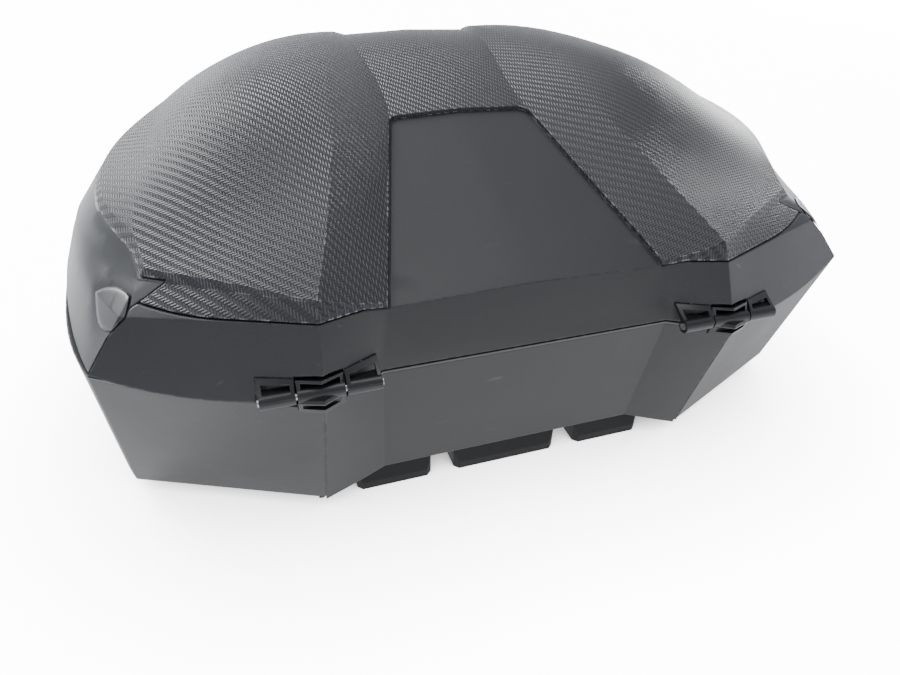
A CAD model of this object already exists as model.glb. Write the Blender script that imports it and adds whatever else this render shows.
# %% [markdown]
# # A hard top case for a motorcycle
# The case is a stiff black shell in two halves, joined by two corner hinges. Its outside shape, its
# hinges and its lock come from the engineering model, and this script adds the looks: rounded edges,
# the moulded twill of the cover, the grain of the shells, light and camera. The model is loaded first,
# because the copies and finishes below are made from its pieces.

# %% Load the engineering model
import math

import bmesh
import bpy
from mathutils import Matrix, Vector


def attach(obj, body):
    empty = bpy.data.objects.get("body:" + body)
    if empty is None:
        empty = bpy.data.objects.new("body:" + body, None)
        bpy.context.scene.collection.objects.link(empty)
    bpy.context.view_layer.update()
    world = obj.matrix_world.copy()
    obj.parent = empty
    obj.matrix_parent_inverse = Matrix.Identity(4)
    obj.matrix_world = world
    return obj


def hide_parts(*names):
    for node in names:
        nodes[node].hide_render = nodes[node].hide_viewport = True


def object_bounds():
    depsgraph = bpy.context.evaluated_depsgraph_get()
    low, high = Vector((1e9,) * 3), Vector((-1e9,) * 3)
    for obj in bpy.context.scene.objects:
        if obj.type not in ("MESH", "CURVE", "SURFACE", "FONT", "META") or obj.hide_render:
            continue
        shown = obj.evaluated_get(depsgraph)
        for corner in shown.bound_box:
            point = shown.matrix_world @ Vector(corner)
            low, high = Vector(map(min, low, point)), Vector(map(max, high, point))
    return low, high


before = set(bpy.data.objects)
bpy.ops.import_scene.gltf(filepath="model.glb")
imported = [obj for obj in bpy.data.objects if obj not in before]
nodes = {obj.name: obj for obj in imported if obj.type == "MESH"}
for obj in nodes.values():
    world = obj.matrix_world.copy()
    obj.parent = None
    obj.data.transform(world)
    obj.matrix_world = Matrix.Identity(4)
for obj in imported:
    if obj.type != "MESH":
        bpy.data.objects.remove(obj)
cad_low, cad_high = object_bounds()
cad_low, cad_high = list(cad_low), list(cad_high)
MM = 0.001
print("pieces in the engineering model:", len(nodes))

# %% [markdown]
# ## Camera
# The case is looked at from its hinge side, from the left and from well above, at arm's length. A camera
# this close makes the near lobe large and the far one small, so its distance matters as much as its
# direction. The camera is turned by its heading, its pitch and a slight roll, one after the other.

# %% Camera
CAMERA_PLACE = Vector((-178.0, -535.7, 410.8)) * MM
HEADING = 18.67
PITCH = 34.98
ROLL = 1.39
LENS_MM = 27.2
SENSOR_MM = 36.0
camera_data = bpy.data.cameras.new("camera")
camera_data.lens = LENS_MM
camera_data.sensor_width = SENSOR_MM
camera = bpy.data.objects.new("camera", camera_data)
turn = (Matrix.Rotation(math.radians(-HEADING), 4, "Z")
        @ Matrix.Rotation(math.radians(90.0 - PITCH), 4, "X")
        @ Matrix.Rotation(math.radians(ROLL), 4, "Z"))
camera.matrix_world = Matrix.Translation(CAMERA_PLACE) @ turn
bpy.context.scene.collection.objects.link(camera)
bpy.context.scene.camera = camera
print("camera", [round(v, 3) for v in CAMERA_PLACE])

# %% [markdown]
# ## Colours and nodes
# Every finish is a small graph of nodes. One helper adds a node, sets its values and joins its inputs,
# so each material below reads like a recipe. Colours are written as sRGB hex values, the way a paint
# chart gives them, and one function turns them to the linear numbers that a renderer adds up.


# %% Helpers for colours and nodes
def linear(hex_colour):
    """A linear RGBA colour from an sRGB hex value such as 2b2d2e."""
    parts = [int(hex_colour[i:i + 2], 16) / 255 for i in (0, 2, 4)]
    return [p / 12.92 if p <= 0.04045 else ((p + 0.055) / 1.055) ** 2.4 for p in parts] + [1.0]


def add_node(tree, kind, settings=None, **inputs):
    """Adds a node. settings are its own properties; inputs are socket values or other nodes' outputs."""
    made = tree.nodes.new(kind)
    for key, value in (settings or {}).items():
        setattr(made, key, value)
    for key, value in inputs.items():
        numbered = key[0] == "i" and key[1:].isdigit()
        socket = made.inputs[int(key[1:])] if numbered else made.inputs[key.replace("_", " ")]
        if isinstance(value, bpy.types.NodeSocket):
            tree.links.new(value, socket)
        else:
            socket.default_value = value
    return made


def new_material(name):
    """An empty material: returns the material, its node tree and its shader."""
    material = bpy.data.materials.new(name)
    material.use_nodes = True
    tree = material.node_tree
    return material, tree, tree.nodes["Principled BSDF"]


def maths(tree, operation, a, b=0.0, c=0.0):
    """The output of one Math node."""
    return add_node(tree, "ShaderNodeMath", {"operation": operation}, i0=a, i1=b, i2=c).outputs[0]


def remap(tree, value, low, high, to_low, to_high):
    """A value moved from one range to another and kept inside it."""
    return add_node(tree, "ShaderNodeMapRange", Value=value, From_Min=low, From_Max=high,
                    To_Min=to_low, To_Max=to_high).outputs[0]


def blend_colours(tree, share, first, second):
    """A mix of two colours, by share from 0 to 1."""
    return add_node(tree, "ShaderNodeMix", {"data_type": "RGBA"}, Factor=share,
                    i6=first, i7=second).outputs[2]


print("helpers ready")

# %% [markdown]
# ## The room
# Dark plastic shows its shape through what it mirrors, so the room matters more than any lamp. The case
# stands on bright paper. The walls are bright near the ground and dimmer above, the ceiling is soft, and
# the room in front is dimmer than the rest. That is a world whose brightness depends on direction alone:
# the height of a direction gives the first factor, and how far it points to the front gives the second.

# %% World
GROUND_GLOW = (3.2, 0.68)   # brightness of the wall near the ground, and higher up
CEILING_GLOW = 0.35         # added straight overhead
OPEN_SIDE_SHARE = 0.75      # of that brightness, straight to the front
world = bpy.data.worlds.new("room")
world.use_nodes = True
sky = world.node_tree
direction = add_node(sky, "ShaderNodeTexCoord").outputs["Generated"]
towards = add_node(sky, "ShaderNodeSeparateXYZ", Vector=direction)
low_wall = remap(sky, towards.outputs["Z"], 0.03, 0.28, *GROUND_GLOW)
ceiling = remap(sky, towards.outputs["Z"], 0.5, 0.98, 0.0, CEILING_GLOW)
open_side = remap(sky, towards.outputs["Y"], -0.85, 0.0, OPEN_SIDE_SHARE, 1.0)
strength = maths(sky, "MULTIPLY", maths(sky, "ADD", low_wall, ceiling), open_side)
sky.nodes["Background"].inputs["Color"].default_value = linear("f4f7ff")
sky.links.new(strength, sky.nodes["Background"].inputs["Strength"])
bpy.context.scene.world = world
print("world:", len(sky.nodes), "nodes")

# %% [markdown]
# ## Lamps
# A window stands behind the case to its left, and a second, lower one to its right. Their mirror images
# run along the bevels of the cover. A weak lamp above gives the floor its contact shadow.


# %% Area lights
def area_light(name, place, size, power):
    """A square soft light at place, pointed at the middle of the case, in metres and watts."""
    middle = Vector([(low + high) / 2 for low, high in zip(cad_low, cad_high)])
    data = bpy.data.lights.new(name, "AREA")
    data.size = size
    data.energy = power
    light = bpy.data.objects.new(name, data)
    light.location = place
    light.rotation_euler = (middle - Vector(place)).to_track_quat("-Z", "Y").to_euler()
    bpy.context.scene.collection.objects.link(light)


area_light("window_back_left", (-1.45, 2.0, 2.0), 1.4, 125)
area_light("window_right", (2.5, 1.8, 0.62), 0.75, 40)
area_light("ceiling_lamp", (0.2, -0.1, 2.6), 1.2, 14)

# %% [markdown]
# ## Floor
# The floor is a sheet of bright paper. It looks almost pure white to the camera, brighter than the light
# that it gives off, and a light path node tells the two apart. A little shade gathers under the case,
# which an ambient occlusion node measures. Towards the front the paper ends and the room is darker, and
# the case mirrors that too, so the floor gives off less light there.

# %% Floor
FLOOR_SIZE = 12.0
FRONT_EDGE = (-0.85, -0.55)   # the paper fades to its dim front over this stretch
DIM_FRONT = 0.12
SHADE_REACH = 0.16            # how far the shade under the case spreads, in metres
SHADE_POWER = 1.4
SEEN_GLOW = 13.0
floor_mesh = bpy.data.meshes.new("floor")
flat = bmesh.new()
bmesh.ops.create_grid(flat, x_segments=1, y_segments=1, size=FLOOR_SIZE / 2)
flat.to_mesh(floor_mesh)
flat.free()
floor = bpy.data.objects.new("floor", floor_mesh)
bpy.context.scene.collection.objects.link(floor)
paper, paper_tree, paper_shader = new_material("white_paper")
paper_place = add_node(paper_tree, "ShaderNodeTexCoord").outputs["Object"]
fibre = add_node(paper_tree, "ShaderNodeTexNoise", Vector=paper_place, Scale=300.0, Detail=2.0)
paper_tone = blend_colours(paper_tree, fibre.outputs["Fac"], linear("ededee"), linear("f6f6f6"))
ahead = add_node(paper_tree, "ShaderNodeSeparateXYZ", Vector=paper_place).outputs["Y"]
near = remap(paper_tree, ahead, *FRONT_EDGE, DIM_FRONT, 1.0)
seen = add_node(paper_tree, "ShaderNodeLightPath").outputs["Is Camera Ray"]
bounce = maths(paper_tree, "MAXIMUM", near, seen)
paper_tree.links.new(blend_colours(paper_tree, bounce, linear("101010"), paper_tone),
                     paper_shader.inputs["Base Color"])
open_air = add_node(paper_tree, "ShaderNodeAmbientOcclusion", {"samples": 8},
                    Distance=SHADE_REACH).outputs["AO"]
glow_seen = maths(paper_tree, "MULTIPLY", maths(paper_tree, "POWER", open_air, SHADE_POWER), SEEN_GLOW)
glow = add_node(paper_tree, "ShaderNodeMix", {"data_type": "FLOAT"}, Factor=seen, A=near, B=glow_seen)
paper_shader.inputs["Emission Color"].default_value = linear("fffefe")
paper_tree.links.new(glow.outputs[0], paper_shader.inputs["Emission Strength"])
paper_shader.inputs["Roughness"].default_value = 0.9
floor_mesh.materials.append(paper)
print("floor", FLOOR_SIZE, "m")

# %% [markdown]
# ## Moulded plastics
# The shells are polypropylene moulded against a finely etched steel, which leaves a grain of about a
# millimetre and a satin sheen. No edge of a moulding is sharp, and a Bevel node rounds the shading of
# every edge by its radius. Where that rounded normal differs from the flat one there is an edge, and
# edges are where a case is rubbed pale. Dust specks and faint scratches finish it.


# %% Plastic finish
PLASTIC_IOR = 1.49
GRAIN_HEIGHT = 0.3 * MM


def moulded_plastic(name, dark, light, roughness, grain_mm, grain_depth, edge_mm, scuffs=0.5, wear=0.35):
    """Moulded black plastic: grain, cloudy tone, polish that varies, rounded and rubbed edges, specks."""
    material, tree, shader = new_material(name)
    place = add_node(tree, "ShaderNodeTexCoord").outputs["Object"]
    cloud = add_node(tree, "ShaderNodeTexNoise", Vector=place, Scale=9.0, Detail=4.0,
                     Roughness=0.6).outputs["Fac"]
    tone = blend_colours(tree, cloud, linear(dark), linear(light))
    specks = add_node(tree, "ShaderNodeTexVoronoi", Vector=place, Scale=75.0).outputs["Distance"]
    patch = add_node(tree, "ShaderNodeTexNoise", Vector=place, Scale=22.0, Detail=1.0).outputs["Fac"]
    dust = maths(tree, "MULTIPLY", maths(tree, "LESS_THAN", specks, 0.03),
                 maths(tree, "GREATER_THAN", patch, 0.66))
    stretch = add_node(tree, "ShaderNodeMapping", Vector=place, Rotation=(0.3, 0.2, 0.7),
                       Scale=(30.0, 420.0, 90.0))
    hair = add_node(tree, "ShaderNodeTexNoise", Vector=stretch.outputs[0], Scale=1.0,
                    Detail=3.0).outputs["Fac"]
    scratch = remap(tree, hair, 0.7, 0.85, 0.0, 0.3 * scuffs)
    rounded = add_node(tree, "ShaderNodeBevel", {"samples": 6}, Radius=edge_mm * MM).outputs[0]
    flat_normal = add_node(tree, "ShaderNodeNewGeometry").outputs["Normal"]
    same = add_node(tree, "ShaderNodeVectorMath", {"operation": "DOT_PRODUCT"}, i0=rounded, i1=flat_normal)
    edge = remap(tree, same.outputs["Value"], 0.995, 0.93, 0.0, 1.0)
    rubbed = add_node(tree, "ShaderNodeTexNoise", Vector=place, Scale=160.0, Detail=3.0).outputs["Fac"]
    rub_share = remap(tree, rubbed, 0.45, 0.62, 0.0, 1.0)
    rub = maths(tree, "MULTIPLY", maths(tree, "MULTIPLY", edge, rub_share), wear)
    worn = maths(tree, "MAXIMUM", maths(tree, "MAXIMUM", maths(tree, "MULTIPLY", dust, 0.6), scratch), rub)
    tree.links.new(blend_colours(tree, worn, tone, linear("8a8c88")), shader.inputs["Base Color"])
    polish = remap(tree, cloud, 0.3, 0.7, roughness - 0.04, roughness + 0.05)
    tree.links.new(polish, shader.inputs["Roughness"])
    fine = add_node(tree, "ShaderNodeTexNoise", Vector=place, Scale=1000.0 / grain_mm,
                    Detail=2.0).outputs["Fac"]
    bump = add_node(tree, "ShaderNodeBump", Height=fine, Strength=grain_depth, Distance=GRAIN_HEIGHT,
                    Normal=rounded)
    tree.links.new(bump.outputs[0], shader.inputs["Normal"])
    shader.inputs["IOR"].default_value = PLASTIC_IOR
    return material


grained_polypropylene = moulded_plastic(
    "grained_polypropylene", "202223", "2a2c2d", 0.46, 1.1, 0.35, 1.4, wear=0.16)
lipped_polypropylene = moulded_plastic(
    "grained_polypropylene_with_lip", "1e2021", "282a2b", 0.46, 1.1, 0.35, 1.6, wear=0.16)
smooth_polypropylene = moulded_plastic("smooth_polypropylene", "26292a", "2e3132", 0.36, 1.6, 0.10, 1.0)
satin_nylon = moulded_plastic("satin_moulded_nylon", "17191a", "212324", 0.30, 1.2, 0.12, 0.5, 0.8, 0.25)
moulded_rubber = moulded_plastic("moulded_rubber", "0d0e0f", "141516", 0.7, 0.7, 0.4, 1.0, 0.1, 0.1)
print("plastics ready")

# %% [markdown]
# ## The lip along the seam
# Just under the seam the tub has a narrow raised lip, rubbed paler than the wall, with a fine shadow
# under it. It is only 1.5 mm wide and follows the seam, which is level in the middle and sweeps up along
# an arc towards each end. Its height is worked out from that arc, and two narrow bands of colour follow it.

# %% Seam lip
SEAM_HEIGHT = 137.0
SEAM_FLAT_HALF = 198.0
SEAM_RADIUS = 294.0


def add_seam_lip(material):
    """Draws the pale lip and the shadow below it over the material's own colour."""
    tree = material.node_tree
    shader = tree.nodes["Principled BSDF"]
    own_colour = shader.inputs["Base Color"].links[0].from_socket
    whole_place = add_node(tree, "ShaderNodeTexCoord").outputs["Object"]
    place = add_node(tree, "ShaderNodeSeparateXYZ", Vector=whole_place)
    sideways = maths(tree, "ABSOLUTE", place.outputs["X"])
    out = maths(tree, "MAXIMUM", maths(tree, "SUBTRACT", sideways, SEAM_FLAT_HALF * MM), 0.0)
    radius = SEAM_RADIUS * MM
    arc = maths(tree, "SQRT", maths(tree, "SUBTRACT", radius ** 2, maths(tree, "MULTIPLY", out, out)))
    seam = maths(tree, "SUBTRACT", SEAM_HEIGHT * MM + radius, arc)
    below = maths(tree, "SUBTRACT", seam, place.outputs["Z"])
    lip = maths(tree, "MULTIPLY", remap(tree, below, 0.8 * MM, 1.1 * MM, 0.0, 1.0),
                remap(tree, below, 2.2 * MM, 2.6 * MM, 0.8, 0.0))
    shadow = maths(tree, "MULTIPLY", remap(tree, below, 2.4 * MM, 2.8 * MM, 0.0, 1.0),
                   remap(tree, below, 3.2 * MM, 4.2 * MM, 0.85, 0.0))
    with_shadow = blend_colours(tree, shadow, own_colour, linear("060607"))
    tree.links.new(blend_colours(tree, lip, with_shadow, linear("505354")), shader.inputs["Base Color"])


add_seam_lip(lipped_polypropylene)
print("lip drawn under the seam")

# %% [markdown]
# ## Plated metal
# Pins, screws and the latch are zinc plated steel, and the lock and key are nickel plated. Both are
# metals with a soft drawn grain, and they differ in tint and in how clear their reflections are.


# %% Metals
def plated_metal(name, tint, roughness):
    """Plated metal: bright, with drawn lines and a little cloudiness."""
    material, tree, shader = new_material(name)
    place = add_node(tree, "ShaderNodeTexCoord").outputs["Object"]
    stretch = add_node(tree, "ShaderNodeMapping", Vector=place, Scale=(60.0, 900.0, 900.0))
    lines = add_node(tree, "ShaderNodeTexNoise", Vector=stretch.outputs[0], Scale=1.0,
                     Detail=2.0).outputs["Fac"]
    tree.links.new(blend_colours(tree, lines, linear(tint), linear("d8d8d4")), shader.inputs["Base Color"])
    tree.links.new(remap(tree, lines, 0.0, 1.0, roughness, roughness + 0.15), shader.inputs["Roughness"])
    shader.inputs["Metallic"].default_value = 1.0
    return material


zinc_plated_steel = plated_metal("zinc_plated_steel", "8f9191", 0.3)
nickel_plated_brass = plated_metal("nickel_plated_brass", "b4b0a6", 0.2)
print("metals ready")

# %% [markdown]
# ## Reflectors
# The two reflectors on the lock side are red acrylic, moulded with rows of small prisms on the back.

# %% Reflector acrylic
prismatic_acrylic, acrylic_tree, acrylic_shader = new_material("prismatic_red_acrylic")
acrylic_place = add_node(acrylic_tree, "ShaderNodeTexCoord").outputs["Object"]
prisms = add_node(acrylic_tree, "ShaderNodeTexVoronoi", Vector=acrylic_place, Scale=350.0).outputs["Distance"]
acrylic_tree.links.new(blend_colours(acrylic_tree, prisms, linear("b01818"), linear("4c0606")),
                       acrylic_shader.inputs["Base Color"])
prism_bump = add_node(acrylic_tree, "ShaderNodeBump", Height=prisms, Strength=0.4, Distance=0.0004)
acrylic_tree.links.new(prism_bump.outputs[0], acrylic_shader.inputs["Normal"])
acrylic_shader.inputs["Roughness"].default_value = 0.12
acrylic_shader.inputs["Coat Weight"].default_value = 1.0
print("reflector ready")

# %% [markdown]
# ## The twill of the cover
# The cover is moulded with the look of carbon cloth in a two-over, two-under twill: each thread passes
# over two and under two, one step further along in each row, so slanting lines run across it. The threads
# are 1.75 mm wide. Counting threads across and along, a thread lies on top where the two counts added up
# leave 0 or 1 when divided by four. The tops of the threads are polished by use and the gaps stay dull.

# %% Twill material
THREAD = 1.75 * MM
THREAD_RISE = 0.6 * MM
twill, twill_tree, twill_shader = new_material("twill_moulded_polypropylene")
twill_place = add_node(twill_tree, "ShaderNodeTexCoord").outputs["Object"]
wobble = add_node(twill_tree, "ShaderNodeTexNoise", Vector=twill_place, Scale=14.0, Detail=1.0).outputs["Fac"]
twill_axes = add_node(twill_tree, "ShaderNodeSeparateXYZ", Vector=twill_place)
across = maths(twill_tree, "DIVIDE", twill_axes.outputs["X"], THREAD)
along = maths(twill_tree, "DIVIDE", twill_axes.outputs["Y"], THREAD)
across = maths(twill_tree, "ADD", across, wobble)
count = maths(twill_tree, "ADD", maths(twill_tree, "FLOOR", across), maths(twill_tree, "FLOOR", along))
over = maths(twill_tree, "LESS_THAN", maths(twill_tree, "FLOORED_MODULO", count, 4.0), 1.5)
arch_across, arch_along = [
    maths(twill_tree, "SINE", maths(twill_tree, "MULTIPLY", maths(twill_tree, "FRACT", threads), math.pi))
    for threads in (across, along)]
thread_height = add_node(twill_tree, "ShaderNodeMix", {"data_type": "FLOAT"}, Factor=over,
                         A=maths(twill_tree, "MULTIPLY", arch_along, 0.55), B=arch_across).outputs[0]
twill_cloud = add_node(twill_tree, "ShaderNodeTexNoise", Vector=twill_place, Scale=7.0,
                       Detail=3.0).outputs["Fac"]
top_tone = blend_colours(twill_tree, twill_cloud, linear("34373b"), linear("43464a"))
weave_tone = blend_colours(twill_tree, thread_height, linear("0c0d0f"), top_tone)
twill_round = add_node(twill_tree, "ShaderNodeBevel", {"samples": 6}, Radius=1.2 * MM).outputs[0]
twill_flat = add_node(twill_tree, "ShaderNodeNewGeometry").outputs["Normal"]
twill_same = add_node(twill_tree, "ShaderNodeVectorMath", {"operation": "DOT_PRODUCT"},
                      i0=twill_round, i1=twill_flat)
twill_edge = remap(twill_tree, twill_same.outputs["Value"], 0.998, 0.97, 0.0, 1.0)
twill_rub = add_node(twill_tree, "ShaderNodeTexNoise", Vector=twill_place, Scale=90.0,
                     Detail=2.0).outputs["Fac"]
twill_wear = maths(twill_tree, "MULTIPLY", maths(twill_tree, "MULTIPLY", twill_edge, over),
                   remap(twill_tree, twill_rub, 0.42, 0.6, 0.0, 0.75))
twill_specks = add_node(twill_tree, "ShaderNodeTexVoronoi", Vector=twill_place,
                        Scale=38.0).outputs["Distance"]
twill_dust = maths(twill_tree, "MULTIPLY", maths(twill_tree, "LESS_THAN", twill_specks, 0.028),
                   maths(twill_tree, "GREATER_THAN", twill_cloud, 0.56))
twill_worn = maths(twill_tree, "MAXIMUM", twill_wear, twill_dust)
twill_tree.links.new(blend_colours(twill_tree, twill_worn, weave_tone, linear("a9aba6")),
                     twill_shader.inputs["Base Color"])
twill_tree.links.new(remap(twill_tree, thread_height, 0.0, 1.0, 0.52, 0.33), twill_shader.inputs["Roughness"])
twill_bump = add_node(twill_tree, "ShaderNodeBump", Height=thread_height, Strength=0.8, Distance=THREAD_RISE,
                      Normal=twill_round)
twill_tree.links.new(twill_bump.outputs[0], twill_shader.inputs["Normal"])
twill_shader.inputs["IOR"].default_value = PLASTIC_IOR
print("twill of", THREAD * 1000, "mm threads")

# %% [markdown]
# ## Crisp copies of the shells
# The engineering meshes are loose triangles, so their curved faces show facets and their creases are
# lost when they are shaded smooth. A copy is merged at its corners, and every edge that turns by more
# than a set angle is marked sharp, a smaller one on the cover, whose creases are shallow. The copy then
# stands for the piece it came from. A cut, where there is one, changes the copy before its creases are
# marked.

# %% Copy helper
USUAL_CREASE = 22.0
CREASE_DEGREES = {"lid_cover": 9.0}
MERGE_REACH = 0.01 * MM
SECOND_FINISH = {"lid_cover": smooth_polypropylene}


def crisp_copy(name, material, slot, body, cut=None):
    """A merged copy of an engineering piece, with creases marked, that stands for it."""
    merged = bmesh.new()
    merged.from_mesh(nodes[name].data)
    bmesh.ops.remove_doubles(merged, verts=merged.verts, dist=MERGE_REACH)
    if cut:
        cut(merged)
    crease = math.radians(CREASE_DEGREES.get(name, USUAL_CREASE))
    for face in merged.faces:
        face.smooth = True
    for edge in merged.edges:
        edge.smooth = len(edge.link_faces) == 2 and edge.calc_face_angle(0.0) < crease
    mesh = bpy.data.meshes.new(name + "_finished")
    merged.to_mesh(mesh)
    merged.free()
    mesh.materials.append(material)
    if name in SECOND_FINISH:
        mesh.materials.append(SECOND_FINISH[name])
    piece = bpy.data.objects.new(name + "_finished", mesh)
    bpy.context.scene.collection.objects.link(piece)
    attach(piece, body)
    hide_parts(name)
    print(piece.name, len(mesh.polygons), "faces")
    return piece


# %% [markdown]
# ## The tub's lower edge
# The tub's walls turn into its floor through a soft round. The bevel operator cuts it along the outer
# edges at the lowest height, which lie well away from the middle of the case.

# %% Round the tub's lower edge
FOOT_RADIUS = 5.0 * MM
FOOT_AWAY = 0.2        # the outer edges are further than this from the middle, in metres
FLAT_DEGREES = 0.3


def round_foot(mesh):
    """Rounds the outer lower edge of the tub."""
    bmesh.ops.dissolve_limit(mesh, angle_limit=math.radians(FLAT_DEGREES), verts=mesh.verts, edges=mesh.edges)
    lowest = min(corner.co.z for corner in mesh.verts)
    foot = [edge for edge in mesh.edges
            if all(corner.co.z < lowest + 0.1 * MM for corner in edge.verts)
            and len(edge.link_faces) == 2
            and any(abs(face.normal.z) < 0.6 for face in edge.link_faces)
            and (edge.verts[0].co + edge.verts[1].co).xy.length / 2 > FOOT_AWAY]
    bmesh.ops.bevel(mesh, geom=foot, affect="EDGES", offset=FOOT_RADIUS, offset_type="OFFSET", segments=4,
                    profile=0.5, material=-1, clamp_overlap=False)
    print("rounded", len(foot), "edges")


# %% [markdown]
# ## The cover's front corners
# At each front corner the cover leaves a small chip of its layer behind, flush in the end panel. The
# chips get the panel's finish, so they don't show. They are found as the faces that can't be reached from
# the largest face of the cover without crossing a gap.


# %% Find the chips in the cover
def plain_chips(mesh):
    """Gives the small loose solids of the cover the second finish."""
    left = set(mesh.faces)
    groups = []
    while left:
        group, reach = [], [left.pop()]
        while reach:
            face = reach.pop()
            group.append(face)
            for edge in face.edges:
                if len(edge.link_faces) != 2:
                    continue
                for other in edge.link_faces:
                    if other in left:
                        left.remove(other)
                        reach.append(other)
        groups.append(group)
    groups.sort(key=lambda faces: sum(face.calc_area() for face in faces))
    for group in groups[:-1]:
        for face in group:
            face.material_index = 1
    print("cover in", len(groups), "groups of faces:", [len(group) for group in groups])


# %% Shells
SHELLS = [
    ("base_shell", lipped_polypropylene, "shell_plastic", "tub", round_foot),
    ("lid_shell", grained_polypropylene, "shell_plastic", "lid"),
    ("lid_cover", twill, "carbon_cover", "lid", plain_chips),
    ("end_panel_left", smooth_polypropylene, "panel_plastic", "lid"),
    ("end_panel_right", smooth_polypropylene, "panel_plastic", "lid"),
    ("hinge_inner_left", satin_nylon, "hinge_plastic", "lid"),
    ("hinge_inner_right", satin_nylon, "hinge_plastic", "lid"),
    ("hinge_outer_left", satin_nylon, "hinge_plastic", "lid"),
    ("hinge_outer_right", satin_nylon, "hinge_plastic", "lid"),
    ("hinge_middle_left", satin_nylon, "hinge_plastic", "tub"),
    ("hinge_middle_right", satin_nylon, "hinge_plastic", "tub"),
]
shells = {row[0]: crisp_copy(*row) for row in SHELLS}

# %% [markdown]
# ## Finishes for the other pieces
# The rest of the pieces keep their engineering meshes and get the finish of their real material.

# %% Other finishes
for name, node in nodes.items():
    if name in shells:
        continue
    finish = satin_nylon
    if "foot" in name or "gasket" in name or name == "base_mat":
        finish = moulded_rubber
    elif "screws" in name or "pin" in name or name in (
            "striker", "latch_bracket", "latch_hook", "plate_hook", "release_spring", "dock_plate"):
        finish = zinc_plated_steel
    elif name in ("key", "lock_cylinder"):
        finish = nickel_plated_brass
    elif "reflector" in name:
        finish = prismatic_acrylic
    node.data.materials.clear()
    node.data.materials.append(finish)
print("finished", len(nodes), "pieces")
